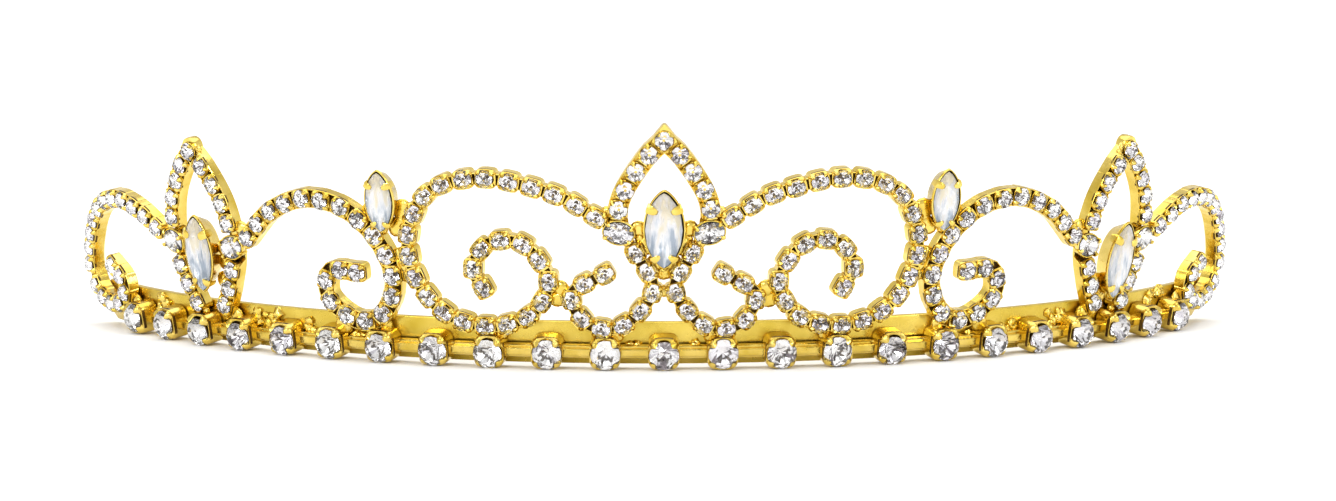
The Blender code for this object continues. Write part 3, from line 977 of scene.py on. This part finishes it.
def oval_spots():
    """(name, s, h, sign) of each oval, where the frame lines put them."""
    distances, oval_index = frame_steps(0)
    centre, _ = along_line(smooth_line(CENTRE_FRAME), distances[oval_index])
    flank, _ = along_line(smooth_line(SIDE_FRAME), distances[oval_index])
    spots = []
    for side, sign in SIDES:
        spots.append((f"centre_oval_{side}", sign * centre.x, centre.y, sign))
        for place, way in (("inner", -1), ("outer", 1)):
            s = sign * (SIDE_FRAME_AXIS + way * flank.x)
            spots.append((f"{place}_oval_{side}", s, flank.y, sign * way))
    return spots


def build_ovals():
    random = Random(11)
    for name, s, h, sign in oval_spots():
        place = seat(s, h, sign * OVAL_TILT)
        metal = Shells()
        rings = setting_rings(oval_point, OVAL, OVAL_BACK, OVAL_RIM, OVAL_FLOOR)
        metal.loft(rings, place, dark_in_setting)
        add_claws(metal, place, oval_point, OVAL, OVAL_RIM, OVAL_CLAW_ANGLES, *OVAL_CLAW_SIZE)
        add_piece(f"{name}_mount", metal, METALS, [f"{name}_setting"])
        stone = Shells()
        stone.random = random
        half_x, half_y = (part - OVAL_PLAY for part in OVAL)
        cut = brilliant(Gem(half_x, half_y, OVAL_RIM + 0.02, 0.12, 0.5, 0.8))
        add_stone(stone, cut, place)
        add_piece(f"{name}_gem", stone, CRYSTALS, [f"{name}_stone"],
                  smooth_below=None)


# Solder


def soldered_rounds(side):
    """(group, place, radius) of everything on one side that can touch a neighbour."""
    rounds = []
    for name, outline, count in (("centre_curl", CURL, CURL_STONES),
                                 ("big_scroll", BIG_SCROLL, BIG_SCROLL_STONES),
                                 ("medium_scroll", MEDIUM_SCROLL, MEDIUM_SCROLL_STONES),
                                 ("end_scroll", END_SCROLL, END_SCROLL_STONES)):
        rounds += [(name, place, SMALL_ROUND) for place, _ in even_places(outline, count)]
    for name, half_outline, axis, below in (
        ("centre_frame", CENTRE_FRAME, 0.0, 0),
        ("side_frame", SIDE_FRAME, SIDE_FRAME_AXIS, SIDE_FRAME_STONES_BELOW_OVAL),
    ):
        line = smooth_line(half_outline)
        distances, oval_index = frame_steps(below)
        for index, distance in enumerate(distances):
            place = along_line(line, distance)[0]
            radius = OVAL_ROUND if index == oval_index else SMALL_ROUND
            for way in (-1, 1) if axis else (1,):
                rounds.append((name, Vector((axis + way * place.x, place.y)), radius))
    for (s, h, _), size in ((CENTRE_MARQUISE, LARGE_MARQUISE),
                            (JUNCTION_MARQUISE, SMALL_MARQUISE),
                            (SIDE_MARQUISES[side], LARGE_MARQUISE)):
        for share, width in ((-0.85, 0.3), (-0.5, 0.72), (0.0, 0.95), (0.5, 0.72)):
            rounds.append((f"marquise_{s}", Vector((s, h + share * size[0])), width * size[1]))
    rounds += [("base_row", Vector((s, BASE_HEIGHT)), LARGE_ROUND)
               for s in base_places() if s >= 0]
    return rounds


def solder_joints(side):
    """(place, heading, gap) between rounds of different groups that nearly touch."""
    rounds = soldered_rounds(side)
    joints = []
    for i, (group, place, radius) in enumerate(rounds):
        for other_group, other, other_radius in rounds[:i]:
            away = other - place
            gap = away.length - radius - other_radius
            if group != other_group and gap < SOLDER_REACH:
                middle = place + away.normalized() * (radius + gap / 2)
                joints.append((middle, atan2(away.y, away.x), max(gap, 0.0)))
    for group, place, radius in rounds:
        if group in ("centre_curl", "marquise_0.0") and 0 < place.x - radius < SOLDER_REACH / 2:
            joints.append((Vector((0.0, place.y)), 0.0, 2 * (place.x - radius)))
    return joints


def solder_blob(shells, place, heading, gap, random):
    """A small uneven bead that fills the gap between two neighbours."""
    spot = seat(place.x, place.y, heading)
    long, wide = gap / 2 + BEAD_OVERLAP, random.uniform(*BEAD_HALF_WIDTHS) + BEAD_SPREAD * gap
    high = random.uniform(*BEAD_HALF_DEPTHS)
    rings = []
    for step in range(1, 8):
        polar = pi * step / 8
        rings.append([
            (long * sin(polar) * cos(a) * random.uniform(0.95, 1.05),
             wide * sin(polar) * sin(a) * random.uniform(0.95, 1.05),
             SOLDER_OUT - high * cos(polar))
            for a in (2 * pi * k / 12 for k in range(12))
        ])
    shells.loft(rings, spot)


def rough_solder(shells, sign, random):
    """Patches of crumpled lumps where solder ran over the band, its links and some joints."""
    for patch in ROUGH_PATCHES:
        for _ in range(patch.count):
            spot = (sign * (patch.s + random.uniform(-patch.half_width, patch.half_width)),
                    patch.h + random.uniform(-patch.half_height, patch.half_height))
            size = random.uniform(*patch.sizes)
            rings = []
            for step in range(1, 6):
                polar = pi * step / 6
                ring = []
                for k in range(9):
                    reach = size * sin(polar) * random.uniform(0.6, 1.4)
                    angle = 2 * pi * k / 9
                    ring.append((reach * cos(angle), reach * sin(angle),
                                 patch.out
                                 - 0.8 * size * cos(polar) * random.uniform(0.7, 1.3)))
                rings.append(ring)
            shells.loft(rings, seat(*spot, random.uniform(0.0, pi)))


def build_solder():
    for side, sign in SIDES:
        random = Random(f"solder {side}")
        shells = Shells()
        rough_solder(shells, sign, random)
        for place, heading, gap in solder_joints(side):
            middle = abs(place.x) < 1e-6
            if middle and sign < 0:
                continue
            spot = Vector((sign * place.x, place.y))
            solder_blob(shells, spot, heading if sign > 0 else pi - heading, gap, random)
        add_piece(f"solder_{side}", shells, METALS, smooth_below=radians(70))


# Scene


def add_camera():
    """At the photograph's viewing angle: slightly from above and a little to the left."""
    low, high = CAD_BOX
    aim = Vector((0.0005, low.y + 0.004, (low.z + high.z) / 2 - 0.0005))
    back = Vector((-sin(SWING) * cos(LOOK_DOWN), -cos(SWING) * cos(LOOK_DOWN), sin(LOOK_DOWN)))
    data = bpy.data.cameras.new("camera")
    data.lens = LENS
    data.sensor_width = SENSOR
    camera = bpy.data.objects.new("camera", data)
    camera.location = aim + back * CAMERA_DISTANCE
    camera.rotation_mode = "QUATERNION"
    camera.rotation_quaternion = (-back).to_track_quat("-Z", "Y")
    bpy.context.scene.collection.objects.link(camera)
    bpy.context.scene.camera = camera


def add_softbox(name, place, size, power):
    data = bpy.data.lights.new(name, "AREA")
    data.shape = "RECTANGLE"
    data.size, data.size_y = size
    data.energy = power
    light = bpy.data.objects.new(name, data)
    light.location = place
    light.rotation_mode = "QUATERNION"
    light.rotation_quaternion = (-Vector(place)).to_track_quat("-Z", "Y")
    light.visible_camera = False
    bpy.context.scene.collection.objects.link(light)


def add_world():
    """A plain pale studio, brighter round the horizon than overhead."""
    world = bpy.data.worlds.new("studio")
    world.use_nodes = True
    tree = world.node_tree
    where = add_node(tree, "ShaderNodeTexCoord").outputs["Generated"]
    parts = add_node(tree, "ShaderNodeSeparateXYZ")
    tree.links.new(where, parts.inputs["Vector"])
    glow = in_range(tree, parts.outputs["Z"], HORIZON_GLOW, ZENITH_GLOW, 0.0, 0.9)
    tree.links.new(glow, tree.nodes["Background"].inputs["Strength"])
    tree.nodes["Background"].inputs["Color"].default_value = (1.0, 1.0, 1.0, 1.0)
    bpy.context.scene.world = world
    bpy.context.scene.view_settings.view_transform = "Standard"


def add_studio():
    for box in SOFTBOXES:
        add_softbox(*box)
    add_world()
    bm = bmesh.new()
    bmesh.ops.create_circle(bm, cap_ends=True, segments=96, radius=FLOOR_RADIUS)
    mesh = bpy.data.meshes.new("floor")
    bm.to_mesh(mesh)
    bm.free()
    floor = bpy.data.objects.new("floor", mesh)
    material, _, shader = node_material("floor")
    shader.inputs["Base Color"].default_value = (FLOOR_SHADE, FLOOR_SHADE, FLOOR_SHADE, 1.0)
    shader.inputs["Roughness"].default_value = 0.9
    shader.inputs["Specular IOR Level"].default_value = 0.0
    mesh.materials.append(material)
    bpy.context.scene.collection.objects.link(floor)


add_camera()
CUP_GOLD = gold_material(
    "cup_gold", [(0.3, (0.66, 0.46, 0.06)), (0.7, (0.88, 0.67, 0.18))],
    (0.12, 0.28), 350.0, 2500.0, 0.00002)
# The band's gold is given darker colours than the cups': painted shade for its front face.
SHADED_BAND_GOLD = gold_material(
    "band_gold", [(0.3, (0.50, 0.35, 0.035)), (0.7, (0.72, 0.54, 0.11))],
    (0.2, 0.38), 180.0, 1800.0, 0.00003)
PAINTED_SHADE = painted_shade_material("painted_shade")
METALS = [CUP_GOLD, PAINTED_SHADE]
GLASS = crystal_material("crystal_glass")
REFLECTION_PAINTED_FOIL = reflection_painted_foil_material("crystal_foil_painted_reflection")
CRYSTALS = [
    GLASS, foil_material("foil_bright", (0.96, 0.95, 0.93), (1.0, 1.0, 1.0)), PAINTED_SHADE,
    # Grey and dark copies of the foil: painted reflections.
    foil_material("foil_painted_grey_reflection", (0.62, 0.60, 0.64), (0.78, 0.77, 0.80)),
    foil_material("foil_painted_dark_reflection", (0.16, 0.13, 0.14), (0.34, 0.30, 0.32)),
]
build_band()
build_base_row()
build_scrolls()
build_frames()
build_marquises()
build_ovals()
build_solder()
add_studio()
